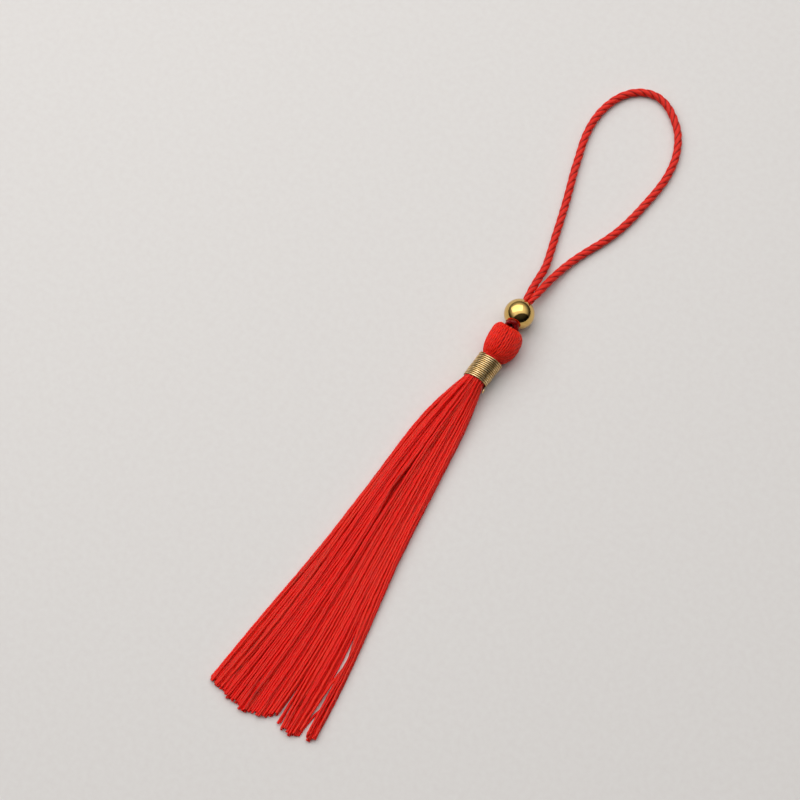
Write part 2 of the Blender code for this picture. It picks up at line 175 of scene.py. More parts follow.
def silk_material(name, colours, groove_shade, radius_mm, plies, roughness, depth_mm):
    """Loosely twisted silk: shiny filaments along each ply, uneven dye, painted shade where the plies
    meet.

    The groove colour is that painted shade. The depth is how far light goes on inside the silk."""
    # A filament is about 0.015 mm thick, too fine to show, so a few are drawn together as one
    filament_mm = 0.07
    filament_length_mm = 2.5
    filament_height_mm = 0.02
    patch_mm = 5.0
    patch_across = 0.3
    patch_shift = 40.0
    thread_share, patch_share, filament_share = 0.45, 0.35, 0.35
    groove_shade_width = 0.55
    material, tree, shader = new_material(name)
    place = add_node(tree, "ShaderNodeAttribute", {"attribute_name": "thread_place"})
    tone = add_node(tree, "ShaderNodeAttribute", {"attribute_name": "thread_tone"})
    across = radius_mm / filament_mm
    filaments = add_node(tree, "ShaderNodeVectorMath",
                         {"operation": "MULTIPLY", 1: (across, across, 1 / (filament_length_mm * MM))},
                         {0: place.outputs["Vector"]})
    filament_noise = add_node(tree, "ShaderNodeTexNoise", {"Scale": 1.0, "Detail": 2.0},
                              {"Vector": filaments.outputs["Vector"]})
    patches = add_node(tree, "ShaderNodeVectorMath",
                       {"operation": "MULTIPLY", 1: (patch_across, patch_across, 1 / (patch_mm * MM))},
                       {0: place.outputs["Vector"]})
    shift = add_node(tree, "ShaderNodeMath", {"operation": "MULTIPLY", 1: patch_shift},
                     {0: tone.outputs["Fac"]})
    shifted = add_node(tree, "ShaderNodeVectorMath", {"operation": "ADD"},
                       {0: patches.outputs["Vector"], 1: shift.outputs[0]})
    patch_noise = add_node(tree, "ShaderNodeTexNoise", {"Scale": 1.0, "Detail": 1.0},
                           {"Vector": shifted.outputs["Vector"]})
    dye = add_node(tree, "ShaderNodeMath", {"operation": "MULTIPLY", 1: thread_share},
                   {0: tone.outputs["Fac"]})
    for noise, noise_share in ((patch_noise, patch_share), (filament_noise, filament_share)):
        dye = add_node(tree, "ShaderNodeMath", {"operation": "MULTIPLY_ADD", 1: noise_share},
                       {0: noise.outputs["Fac"], 2: dye.outputs[0]})
    dark, mid, bright = colours
    colour = ramp_node(tree, dye.outputs[0], ((0.2, dark), (0.5, mid), (0.85, bright)))
    # Painted shade: the colour is darkened in the valleys where the plies meet, by the angle round the
    # thread
    around = add_node(tree, "ShaderNodeSeparateXYZ", links={0: place.outputs["Vector"]})
    angle = add_node(tree, "ShaderNodeMath", {"operation": "ARCTAN2"},
                     {0: around.outputs["Y"], 1: around.outputs["X"]})
    half = add_node(tree, "ShaderNodeMath", {"operation": "MULTIPLY", 1: plies / 2},
                    {0: angle.outputs[0]})
    wave = add_node(tree, "ShaderNodeMath", {"operation": "SINE"}, {0: half.outputs[0]})
    crest = add_node(tree, "ShaderNodeMath", {"operation": "ABSOLUTE"}, {0: wave.outputs[0]})
    shade = ramp_node(tree, crest.outputs[0], ((0.0, groove_shade), (groove_shade_width, "#FFFFFF")))
    colour = add_node(tree, "ShaderNodeMix",
                      {"data_type": "RGBA", "blend_type": "MULTIPLY", "Factor": 1.0},
                      {6: colour.outputs["Color"], 7: shade.outputs["Color"]})
    gloss = add_node(tree, "ShaderNodeMapRange",
                     {"To Min": roughness - 0.07, "To Max": roughness + 0.1},
                     {"Value": filament_noise.outputs["Fac"]})
    bump = add_node(tree, "ShaderNodeBump", {"Strength": 0.45, "Distance": filament_height_mm * MM},
                    {"Height": filament_noise.outputs["Fac"]})
    tree.links.new(colour.outputs[2], shader.inputs["Base Color"])
    tree.links.new(gloss.outputs["Result"], shader.inputs["Roughness"])
    tree.links.new(bump.outputs["Normal"], shader.inputs["Normal"])
    shader.inputs["IOR"].default_value = 1.5
    shader.inputs["Specular IOR Level"].default_value = 0.2
    shader.inputs["Subsurface Weight"].default_value = 0.7
    shader.inputs["Subsurface Scale"].default_value = depth_mm * MM
    shader.inputs["Subsurface Radius"].default_value = (1.0, 0.12, 0.08)
    shader.inputs["Sheen Weight"].default_value = 0.05
    shader.inputs["Sheen Roughness"].default_value = 0.4
    shader.inputs["Sheen Tint"].default_value = linear("#FF9A8C")
    return material


def laid_thread_tree():
    """Sweeps a section of several plies along every spline and keeps where each point lies on it."""
    tree = bpy.data.node_groups.new("laid_thread", "GeometryNodeTree")
    sockets = tree.interface
    sockets.new_socket("Geometry", in_out="INPUT", socket_type="NodeSocketGeometry")
    for name, kind, default in (
            ("Radius", "NodeSocketFloat", 0.00025), ("Plies", "NodeSocketFloat", 2.0),
            ("Valley", "NodeSocketFloat", 0.6), ("Roundness", "NodeSocketFloat", 0.7),
            ("Sides", "NodeSocketInt", 8), ("Seed", "NodeSocketInt", 1)):
        socket = sockets.new_socket(name, in_out="INPUT", socket_type=kind)
        socket.default_value = default
    sockets.new_socket("Material", in_out="INPUT", socket_type="NodeSocketMaterial")
    sockets.new_socket("Geometry", in_out="OUTPUT", socket_type="NodeSocketGeometry")
    given = add_node(tree, "NodeGroupInput").outputs
    circle = add_node(tree, "GeometryNodeCurvePrimitiveCircle",
                      links={"Resolution": given["Sides"], "Radius": given["Radius"]})
    position = add_node(tree, "GeometryNodeInputPosition")
    parts = add_node(tree, "ShaderNodeSeparateXYZ", links={0: position.outputs[0]})
    angle = add_node(tree, "ShaderNodeMath", {"operation": "ARCTAN2"},
                     {0: parts.outputs["Y"], 1: parts.outputs["X"]})
    lobes = add_node(tree, "ShaderNodeMath", {"operation": "MULTIPLY"},
                     {0: angle.outputs[0], 1: given["Plies"]})
    half = add_node(tree, "ShaderNodeMath", {"operation": "MULTIPLY", 1: 0.5},
                    {0: lobes.outputs[0]})
    wave = add_node(tree, "ShaderNodeMath", {"operation": "SINE"}, {0: half.outputs[0]})
    crest = add_node(tree, "ShaderNodeMath", {"operation": "ABSOLUTE"}, {0: wave.outputs[0]})
    round_crest = add_node(tree, "ShaderNodeMath", {"operation": "POWER"},
                           {0: crest.outputs[0], 1: given["Roundness"]})
    reach = add_node(tree, "ShaderNodeMapRange", {"To Max": 1.0},
                     {"Value": round_crest.outputs[0], "To Min": given["Valley"]})
    moved = add_node(tree, "ShaderNodeVectorMath", {"operation": "SCALE"},
                     {0: position.outputs[0], "Scale": reach.outputs["Result"]})
    direction = add_node(tree, "ShaderNodeVectorMath", {"operation": "NORMALIZE"},
                         {0: position.outputs[0]})
    outline = add_node(tree, "GeometryNodeCaptureAttribute", {"domain": "POINT"},
                       {"Geometry": circle.outputs["Curve"]})
    outline.capture_items.new("VECTOR", "around")
    tree.links.new(direction.outputs["Vector"], outline.inputs["around"])
    section = add_node(tree, "GeometryNodeSetPosition",
                       links={"Geometry": outline.outputs["Geometry"],
                              "Position": moved.outputs["Vector"]})
    along = add_node(tree, "GeometryNodeSplineParameter")
    line = add_node(tree, "GeometryNodeCaptureAttribute", {"domain": "POINT"},
                    {"Geometry": given["Geometry"]})
    line.capture_items.new("FLOAT", "length")
    tree.links.new(along.outputs["Length"], line.inputs["length"])
    index = add_node(tree, "GeometryNodeInputIndex")
    chance = add_node(tree, "FunctionNodeRandomValue", {"data_type": "FLOAT"},
                      {"ID": index.outputs[0], "Seed": given["Seed"]})
    threads = add_node(tree, "GeometryNodeCaptureAttribute", {"domain": "CURVE"},
                       {"Geometry": line.outputs["Geometry"]})
    threads.capture_items.new("FLOAT", "tone")
    tree.links.new(chance.outputs[1], threads.inputs["tone"])
    radius = add_node(tree, "GeometryNodeInputRadius")
    swept = add_node(tree, "GeometryNodeCurveToMesh", {"Fill Caps": True},
                     {"Curve": threads.outputs["Geometry"],
                      "Profile Curve": section.outputs["Geometry"], "Scale": radius.outputs[0]})
    around = add_node(tree, "ShaderNodeSeparateXYZ", links={0: outline.outputs["around"]})
    place = add_node(tree, "ShaderNodeCombineXYZ",
                     links={"X": around.outputs["X"], "Y": around.outputs["Y"],
                            "Z": line.outputs["length"]})
    placed = add_node(tree, "GeometryNodeStoreNamedAttribute",
                      {"data_type": "FLOAT_VECTOR", "domain": "POINT", "Name": "thread_place"},
                      {"Geometry": swept.outputs["Mesh"], "Value": place.outputs["Vector"]})
    toned = add_node(tree, "GeometryNodeStoreNamedAttribute",
                     {"data_type": "FLOAT", "domain": "POINT", "Name": "thread_tone"},
                     {"Geometry": placed.outputs["Geometry"], "Value": threads.outputs["tone"]})
    smooth = add_node(tree, "GeometryNodeSetShadeSmooth",
                      links={"Geometry": toned.outputs["Geometry"]})
    real = add_node(tree, "GeometryNodeRealizeInstances",
                    links={"Geometry": smooth.outputs["Geometry"]})
    finished = add_node(tree, "GeometryNodeSetMaterial",
                        links={"Geometry": real.outputs["Geometry"], "Material": given["Material"]})
    add_node(tree, "NodeGroupOutput", links={"Geometry": finished.outputs["Geometry"]})
    return tree


LAID_THREAD = laid_thread_tree()


def smooth_route(points, step):
    """Places about a step apart along a smooth curve through the points."""
    points_per_span = 24
    points = np.array(points)
    padded = np.vstack([2 * points[0] - points[1], points, 2 * points[-1] - points[-2]])
    share = np.linspace(0.0, 1.0, points_per_span, endpoint=False)[:, None]
    dense = []
    for a, b, c, d in zip(padded, padded[1:], padded[2:], padded[3:]):
        curve = 2 * b + (c - a) * share + (2 * a - 5 * b + 4 * c - d) * share ** 2
        dense.append((curve + (3 * b - a - 3 * c + d) * share ** 3) / 2)
    dense = np.vstack([*dense, points[-1:]])
    along = np.concatenate([[0.0], np.cumsum(np.linalg.norm(np.diff(dense, axis=0), axis=1))])
    places = np.linspace(0.0, along[-1], round(along[-1] / step) + 1)
    return np.column_stack([np.interp(places, along, dense[:, axis]) for axis in range(3)])


def lay_threads(name, routes, radii, tilts, material, sizes, normals="Z_UP", closed=False):
    """Threads along the routes, in mm, as one plain mesh. Radii are shares of the full radius."""
    curve = bpy.data.curves.new(name, "CURVE")
    curve.dimensions = "3D"
    curve.twist_mode = normals
    for route, radius, tilt in zip(routes, radii, tilts):
        spline = curve.splines.new("POLY")
        spline.points.add(len(route) - 1)
        places = np.column_stack([route * MM, np.ones(len(route))])
        spline.points.foreach_set("co", places.ravel())
        spline.points.foreach_set("radius", np.array(radius, float))
        spline.points.foreach_set("tilt", np.array(tilt, float))
        spline.use_cyclic_u = closed
    guide = bpy.data.objects.new(name + "_guide", curve)
    bpy.context.scene.collection.objects.link(guide)
    modifier = guide.modifiers.new("laid_thread", "NODES")
    modifier.node_group = LAID_THREAD
    values = {**sizes, "Material": material}
    for socket in LAID_THREAD.interface.items_tree:
        if socket.in_out == "INPUT" and socket.name in values:
            modifier[socket.identifier] = values[socket.name]
    depsgraph = bpy.context.evaluated_depsgraph_get()
    mesh = bpy.data.meshes.new_from_object(guide.evaluated_get(depsgraph))
    mesh.name = name
    bpy.data.objects.remove(guide)
    piece = bpy.data.objects.new(name, mesh)
    bpy.context.scene.collection.objects.link(piece)
    return piece


# Spun silk cord, dyed red: a low shine along its filaments, with painted shade where the plies meet
cord_silk = silk_material("dyed_silk_cord", ("#A0110A", "#CA1C12", "#E22E1E"), "#A08888",
                          CORD_DIAMETER_MM / 2, CORD_PLIES, roughness=0.45, depth_mm=0.6)
cord_places = smooth_route(CORD_ROUTE, CORD_STEP_MM)
cord_above = cord_places[:, 1].copy()
cord_places[:, 1] += BEAD_Y_MM
cord_along = np.arange(len(cord_places)) * CORD_STEP_MM
press_above, press = np.array(CORD_PRESS).T
cord = lay_threads(
    "hanging_cord", [cord_places], [np.interp(cord_above, press_above, press)],
    [2 * math.pi * cord_along / CORD_LAY_MM], cord_silk,
    {"Radius": CORD_DIAMETER_MM / 2 * MM, "Plies": float(CORD_PLIES), "Valley": 0.76,
     "Roundness": 0.6, "Sides": 24, "Seed": 3})
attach(cord, "root")
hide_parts("hanging_loop")


# Knot
# The cord's two legs fill the bead's bore and are tied below it in a tight overhand knot, in the
# hollow of the head. It is the same silk, with darker colours painted as shade, for it lies in shade.
KNOT_CORD_MM = 0.72
KNOT_PLACE_MM = (0.22, BEAD_Y_MM - 2.98, 2.90)
KNOT_TURN_RADIUS_MM = 1.0
KNOT_SWING_MM = 0.17
KNOT_TALL = 1.25
KNOT_RISE_MM = 0.26
KNOT_LEAN_MM = 0.46
KNOT_LAY_TURNS = 6
KNOT_STEPS = 150
LEG_CORD_MM = 1.20
LEG_SPREAD_MM = 0.58
LEG_TOP_MM = 1.45
LEG_LAY_MM = 4.0
LEG_STEPS = 24

# The same silk pulled tight, smoother where it is pressed; its darker colours are painted shade
shaded_knot_silk = silk_material("dyed_silk_knot_shaded", ("#620507", "#8C0A0E", "#BC1C1E"), "#A89090",
                          KNOT_CORD_MM / 2, CORD_PLIES, roughness=0.32, depth_mm=0.3)
# The cord goes twice round the knot's middle while it swings in and out three times
turn = np.linspace(0, 2 * math.pi, KNOT_STEPS, endpoint=False)
knot_reach = KNOT_TURN_RADIUS_MM + KNOT_SWING_MM * np.cos(3 * turn)
knot_route = np.column_stack([
    knot_reach * np.sin(2 * turn),
    KNOT_SWING_MM * np.sin(3 * turn) + KNOT_LEAN_MM * np.cos(2 * turn),
    KNOT_TALL * knot_reach * np.cos(2 * turn) + KNOT_RISE_MM])
knot_tilt = 2 * math.pi * KNOT_LAY_TURNS * np.arange(KNOT_STEPS) / KNOT_STEPS
leg_y = np.linspace(KNOT_PLACE_MM[1], BEAD_Y_MM + LEG_TOP_MM, LEG_STEPS)
leg_height = np.full(LEG_STEPS, KNOT_PLACE_MM[2])
leg_routes = [np.column_stack([np.full(LEG_STEPS, side * LEG_SPREAD_MM), leg_y, leg_height])
              for side in (-1, 1)]
knot_sizes = {"Plies": float(CORD_PLIES), "Valley": 0.72, "Roundness": 0.6, "Sides": 18}
knot = lay_threads("overhand_knot", [knot_route + KNOT_PLACE_MM], [np.ones(KNOT_STEPS)],
                   [knot_tilt], shaded_knot_silk,
                   {**knot_sizes, "Radius": KNOT_CORD_MM / 2 * MM, "Seed": 8}, closed=True)
legs = lay_threads("knot_legs", leg_routes, [np.ones(LEG_STEPS)] * 2,
                   [2 * math.pi * leg_y / LEG_LAY_MM] * 2, shaded_knot_silk,
                   {**knot_sizes, "Radius": LEG_CORD_MM / 2 * MM, "Seed": 9})
for piece in (knot, legs):
    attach(piece, "root")
    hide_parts("top_knot")


# Head
# The hank of red silk yarns is folded over the cord under its knot. The folded yarns run side by
# side from the hollow round the knot over the shoulder and down to the tied neck.
HEAD_AXIS_HEIGHT_MM = 3.0
NECK_END_HEIGHT_MM = 2.75
# The head's top and the neck's foot, as distances below the bead's centre
HEAD_TOP_MM = 3.8
NECK_FOOT_MM = 15.8
# The rim of the hollow dips on top, and the dip fades over the last stretch before its end
HOLLOW_DIP_MM = 0.45
HOLLOW_END_MM = 5.2
HOLLOW_FADE_MM = 1.4
HEAD_YARNS = 42
# A yarn's greatest width as a share of the full one, its turn round the head on its way down,
# and how unevenly the yarns lie: by a share of their spacing, in radians and in mm
HEAD_YARN_WIDEST = 0.96
HEAD_YARN_TURN = 0.12
HEAD_YARN_STRAY = 0.05
HEAD_YARN_SWAY = 0.008
HEAD_YARN_LIFT_MM = 0.035
HEAD_STEP_MM = 0.24
CORE_INSET_MM = 0.27
CORE_SIDES = 64
YARN_DIAMETER_MM = 0.5
YARN_LAY_MM = 2.8
YARN_PLIES = 2
# Each yarn's plies start at any angle
ANY_TURN = (0, 6.28)
# Columns: distance below the bead's centre, sideways shift of the middle, radius
HEAD_SECTIONS = (
    (3.90, 0.10, 1.20),
    (3.50, 0.12, 1.75),
    (3.42, 0.13, 2.15),
    (3.60, 0.16, 2.52),
    (4.15, 0.28, 2.93),
    (5.05, 0.41, 3.14),
    (6.30, 0.50, 3.20),
    (7.30, 0.53, 3.14),
    (8.30, 0.51, 2.92),
    (9.05, 0.46, 2.62),
    (9.50, 0.38, 2.32),
    (9.85, 0.31, 2.06),
    (10.40, 0.26, 1.96),
    (11.60, 0.15, 1.94),
)


def axis_height(distance):
    """Height of the head's and neck's middle at a distance below the bead's centre."""
    share = (distance - HEAD_TOP_MM) / (NECK_FOOT_MM - HEAD_TOP_MM)
    return HEAD_AXIS_HEIGHT_MM + (NECK_END_HEIGHT_MM - HEAD_AXIS_HEIGHT_MM) * share


def head_point(section, angle, inset):
    """A point that far under the head's skin, with the hollow's rim dipping on top."""
    distance, shift, radius = section
    reach = radius - inset
    height = axis_height(distance) + reach * math.sin(angle)
    fade = min(1.0, max(0.0, (HOLLOW_END_MM - distance) / HOLLOW_FADE_MM))
    dip = HOLLOW_DIP_MM * max(0.0, math.sin(angle)) ** 2 * fade
    return shift + reach * math.cos(angle), BEAD_Y_MM - distance - dip, max(inset, height)


# Silk floss of the hank: bright satin red, each yarn dyed a little differently, with painted shade in
# its twist lines
yarn_silk = silk_material("dyed_silk_yarn", ("#E0180A", "#F6230E", "#FF301A"), "#BCA2A2",
                          YARN_DIAMETER_MM / 2, YARN_PLIES, roughness=0.42, depth_mm=0.65)

head_rng = np.random.default_rng(11)
# Below the hollow the yarns lie side by side on the skin, so its girth sets their width
skin_down, _, skin_radius = np.array(HEAD_SECTIONS[2:]).T
head_routes, head_radii, head_tilts = [], [], []
for yarn in range(HEAD_YARNS):
    start = 2 * math.pi * (yarn + HEAD_YARN_STRAY * head_rng.uniform(-1, 1)) / HEAD_YARNS
    sway = head_rng.uniform(-HEAD_YARN_SWAY, HEAD_YARN_SWAY)
    lift = head_rng.uniform(-HEAD_YARN_LIFT_MM, HEAD_YARN_LIFT_MM)
    points = []
    for row, section in enumerate(HEAD_SECTIONS):
        share = row / (len(HEAD_SECTIONS) - 1)
        turn = start - HEAD_YARN_TURN * share + sway * math.sin(math.pi * share)
        points.append(head_point(section, turn, YARN_DIAMETER_MM / 2 - lift))
    route = smooth_route(points, HEAD_STEP_MM)
    route[:, 2] = np.maximum(route[:, 2], YARN_DIAMETER_MM / 2)
    skin = np.interp(BEAD_Y_MM - route[:, 1], skin_down, skin_radius)
    width = np.minimum(HEAD_YARN_WIDEST, math.pi * skin / HEAD_YARNS / (YARN_DIAMETER_MM / 2))
    along = np.arange(len(route)) * HEAD_STEP_MM
    head_routes.append(route)
    head_radii.append(width)
    head_tilts.append(head_rng.uniform(*ANY_TURN) + 2 * math.pi * along / YARN_LAY_MM)
yarn_sizes = {"Radius": YARN_DIAMETER_MM / 2 * MM, "Plies": float(YARN_PLIES), "Valley": 0.76,
              "Roundness": 0.8, "Sides": 8}
head = lay_threads("head_yarns", head_routes, head_radii, head_tilts, yarn_silk,
                   {**yarn_sizes, "Seed": 5}, normals="MINIMUM")
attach(head, "root")
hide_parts("silk_tassel")


def head_core():
    """The inner yarns of the head and neck, as one closed body just under the outer ones."""
    bm = bmesh.new()
    loops = []
    for section in HEAD_SECTIONS:
        ring = [head_point(section, 2 * math.pi * i / CORE_SIDES, CORE_INSET_MM)
                for i in range(CORE_SIDES)]
        loops.append([bm.verts.new(Vector(point) * MM) for point in ring])
    for near, far in zip(loops, loops[1:]):
        for i in range(CORE_SIDES):
            j = (i + 1) % CORE_SIDES
            bm.faces.new((near[i], near[j], far[j], far[i]))
    bm.faces.new(loops[0])
    bm.faces.new(loops[-1])
    bmesh.ops.recalc_face_normals(bm, faces=bm.faces)
    mesh = bpy.data.meshes.new("head_core")
    bm.to_mesh(mesh)
    bm.free()
    mesh.shade_smooth()
    item = bpy.data.objects.new("head_core", mesh)
    bpy.context.scene.collection.objects.link(item)
    return item


# The inner yarns lie in the outer ones' shade, so their red is deeper
core_silk = silk_material("dyed_silk_core", ("#860A05", "#A01008", "#B4180C"), "#B89E9E",
                          YARN_DIAMETER_MM / 2, YARN_PLIES, roughness=0.5, depth_mm=0.5)
core = head_core()
core.data.materials.append(core_silk)
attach(core, "root")


# Fringe
# The same yarns below the neck, 71 mm long and cut across. They fan out, sink to the table and
# cling together in locks. The two left bunches part on top, and slits open by the right edge.
FRINGE_YARNS = 138
FRINGE_LAY_MM = 7.0
FRINGE_ROW_MM = 2.0
FRINGE_STEP_MM = 0.4
# The yarns start inside the neck and come out of it at its end
FRINGE_START_MM = 14.6
NECK_END_MM = 15.4
NECK_RADIUS_MM = 1.96
# How close the yarns' middles come: in the neck, in one lock and in two locks
NECK_PITCH_MM = 0.29
OWN_LOCK_PITCH_MM = 0.385
OTHER_LOCK_PITCH_MM = 0.45
# A lock has from the first to just under the second number of yarns
LOCK_YARNS = (3, 8)
# A yarn's middle stays this far inside the outline and the slits
EDGE_REACH_MM = 0.23
# Columns: distance below the bead's centre, left edge, right edge
FRINGE_OUTLINE = (
    (15.4, -2.12, 1.76),
    (17.4, -3.60, 2.48),
    (19.4, -4.45, 2.90),
    (22.0, -5.00, 3.15),
    (26.0, -5.40, 3.55),
    (32.0, -5.80, 4.05),
    (40.0, -6.25, 4.95),
    (50.0, -6.90, 6.00),
    (61.0, -8.05, 7.75),
    (73.0, -9.55, 9.72),
    (87.4, -11.15, 11.15),
)
# Columns: share of the yarns up to the bunch's right side, left and right edge at the cut end
FRINGE_BUNCHES = (
    (0.465, -10.9, -1.9),
    (0.690, -1.7, 3.25),
    (0.705, 3.4, 3.7),
    (0.870, 4.0, 7.9),
    (0.878, 8.0, 8.2),
    (0.886, 8.5, 8.7),
    (1.000, 8.9, 10.8),
)
# Half the gap where the two left bunches part on top, by distance below the bead's centre
PARTING = ((34.0, 0.0), (38.5, 0.7), (44.0, 0.4), (60.0, 0.0))
# Where in its bunch a yarn begins to lean off the parting, and where it leans fully
PARTING_LEFT = (0.72, 0.92)
PARTING_RIGHT = (0.45, 0.15)
# The lowest yarns of the neck, under this share of its radius, stay spread out below the locks
UNDER_SHARE = -0.45
# Slits between one bunch and the next, by the bunch on their left. Columns: distance below the
# bead's centre, sideways place, half the gap
FRINGE_SLITS = (
    (0, (34.5, -1.80, -0.5), (36.4, -1.77, 0.0), (39.0, -1.68, 0.34), (43.0, -1.40, 0.10),
     (46.5, -1.45, -0.5)),
    (1, (84.0, 3.00, -0.5), (85.4, 3.08, 0.0), (90.0, 3.40, 0.55)),
    (2, (82.0, 4.10, -0.5), (84.0, 4.20, 0.0), (90.0, 4.50, 0.35)),
    (3, (65.0, 6.90, -0.8), (68.2, 7.42, 0.0), (69.8, 7.70, 0.09), (71.2, 7.92, 0.0),
     (73.8, 8.26, -0.8)),
    (4, (73.0, 7.45, -0.8), (76.4, 7.84, 0.0), (79.2, 8.15, 0.24), (81.8, 8.44, 0.0),
     (84.0, 8.60, -0.4)),
    (5, (79.5, 7.85, -0.8), (82.6, 8.16, 0.0), (90.0, 8.75, 1.05)),
)
# Cut end, by each lock's middle. Columns: sideways place, distance below the bead's centre
FRINGE_CUT = (
    (-11.0, 85.3),
    (-9.4, 85.8),
    (-5.4, 86.7),
    (-2.3, 87.2),
    (0.5, 86.3),
    (1.9, 85.2),
    (2.6, 84.0),
    (3.7, 85.8),
    (5.1, 86.0),
    (6.4, 86.4),
    (7.6, 85.5),
    (9.1, 84.9),
    (10.2, 85.6),
    (10.9, 84.2),
)
# How much shorter or longer a lock and a yarn are cut. A lock's outer yarns are shorter by this
# share of their distance from its middle
LOCK_CUT_MM = (-0.4, 0.25)
YARN_CUT_MM = (-0.5, 0.25)
CUT_SLANT = 0.6
# Share of the full thickness, by distance along the yarn: pressed in the neck, fuller below it
YARN_FULLNESS = ((0.0, 0.94), (4.0, 0.97), (9.0, 1.02))
YARN_UNEVENNESS = (0.94, 1.06)
# How the yarns leave their places in the neck, spread over these lengths below it: fanning out,
# coming apart, falling and clinging together in locks
FAN_OUT_MM = 30.0
COME_APART_MM = 8.0
FALL_MM = 12.0
CLING_MM = 16.0
# Unevenness: of the yarns' order in the neck, of a yarn's end in its lock, and how far locks and
# yarns drift sideways, as a share of half the fringe's width
ORDER_MIX_MM = 0.10
END_STRAY_MM = 0.2
LOCK_DRIFT = 0.035
YARN_DRIFT = 0.02
# The pile that the settling starts from: its section, the limits of half its height, how far its
# outer yarns reach towards the outline, and how steeply it comes down from the neck
PILE_SECTION_MM2 = 27.0
PILE_HALF_HEIGHT_MM = (0.5, 2.4)
PILE_REACH = 0.97
PILE_SLOPE = 0.25
# Settling, in each round: a yarn straightens, is drawn to its own line and to its lock's middle,
# sinks, and is pushed off its neighbours. All but the pushing weakens, down to a least share, and
# the draw to the lock keeps its own share besides
SETTLE_ROUNDS = 400
SETTLE_WEAKENS_OVER = 0.9
LEAST_SHARE = 0.12
STRAIGHTEN = 0.3
STRAIGHTEN_END = 0.1
DRAW_TO_LINE = 0.05
DRAW_TO_LOCK = 0.08
DRAW_TO_LOCK_KEPT = 0.3
SINK_LEAST_MM = 0.004
SINK_MORE_MM = 0.012
PUSH_APART = 0.3
SMOOTH_ROUNDS = 12


def ease(distance, reach):
    """A smooth rise from 0 to 1 over that reach."""
    share = np.clip(distance / reach, 0.0, 1.0)
    return share * share * (3 - 2 * share)


def gather_locks(rng, order, under):
    """Every yarn's lock and bunch, its place at the cut end, and its lean off the parting."""
    rank = np.empty(FRINGE_YARNS)
    rank[order] = (np.arange(FRINGE_YARNS) + 0.5) / FRINGE_YARNS
    lock, bunch = np.empty(FRINGE_YARNS, int), np.empty(FRINGE_YARNS, int)
    end_x, lean = np.empty(FRINGE_YARNS), np.zeros(FRINGE_YARNS)
    locks, begin = 0, 0.0
    for number, (end, end_left, end_right) in enumerate(FRINGE_BUNCHES):
        members = order[(rank[order] > begin) & (rank[order] <= end)]
        stops = np.cumsum(rng.integers(*LOCK_YARNS, len(members)))
        own = np.searchsorted(stops, np.arange(len(members)), side="right")
        count = own[-1] + 1
        inside = (np.arange(len(members)) + 0.5) / len(members)
        even = end_left + (end_right - end_left) * inside
        centres = np.array([even[own == one].mean() for one in range(count)])
        lock[members], bunch[members] = locks + own, number
        gathered = centres[own] + rng.uniform(-END_STRAY_MM, END_STRAY_MM, len(members))
        end_x[members] = np.where(under[members], even, gathered)
        if number == 0:
            lean[members] = -np.interp(inside, PARTING_LEFT, (0.0, 1.0))
        if number == 1:
            lean[members] = np.interp(inside, PARTING_RIGHT[::-1], (1.0, 0.0))
        locks += count
        begin = end
    return lock, bunch, end_x, lean


def bunch_limits(down, left_edge, right_edge, bunch, under):
    """Left and right limits for every yarn's middle at every row, from the outline and the slits."""
    left = np.tile(left_edge + EDGE_REACH_MM, (len(bunch), 1))
    right = np.tile(right_edge - EDGE_REACH_MM, (len(bunch), 1))
    for before, *rows in FRINGE_SLITS:
        slit_down, slit_x, half_gap = np.array(rows).T
        place, gap = np.interp(down, slit_down, slit_x), np.interp(down, slit_down, half_gap)
        acts = (down >= slit_down[0]) & (down <= slit_down[-1])
        right_wall = np.where(acts, place - gap - EDGE_REACH_MM, np.inf)
        left_wall = np.where(acts, place + gap + EDGE_REACH_MM, -np.inf)
        stops = ~under if before == 0 else np.ones(len(bunch), bool)
        right = np.where((stops & (bunch <= before))[:, None], np.minimum(right, right_wall), right)
        left = np.where((stops & (bunch > before))[:, None], np.maximum(left, left_wall), left)
    return left, right


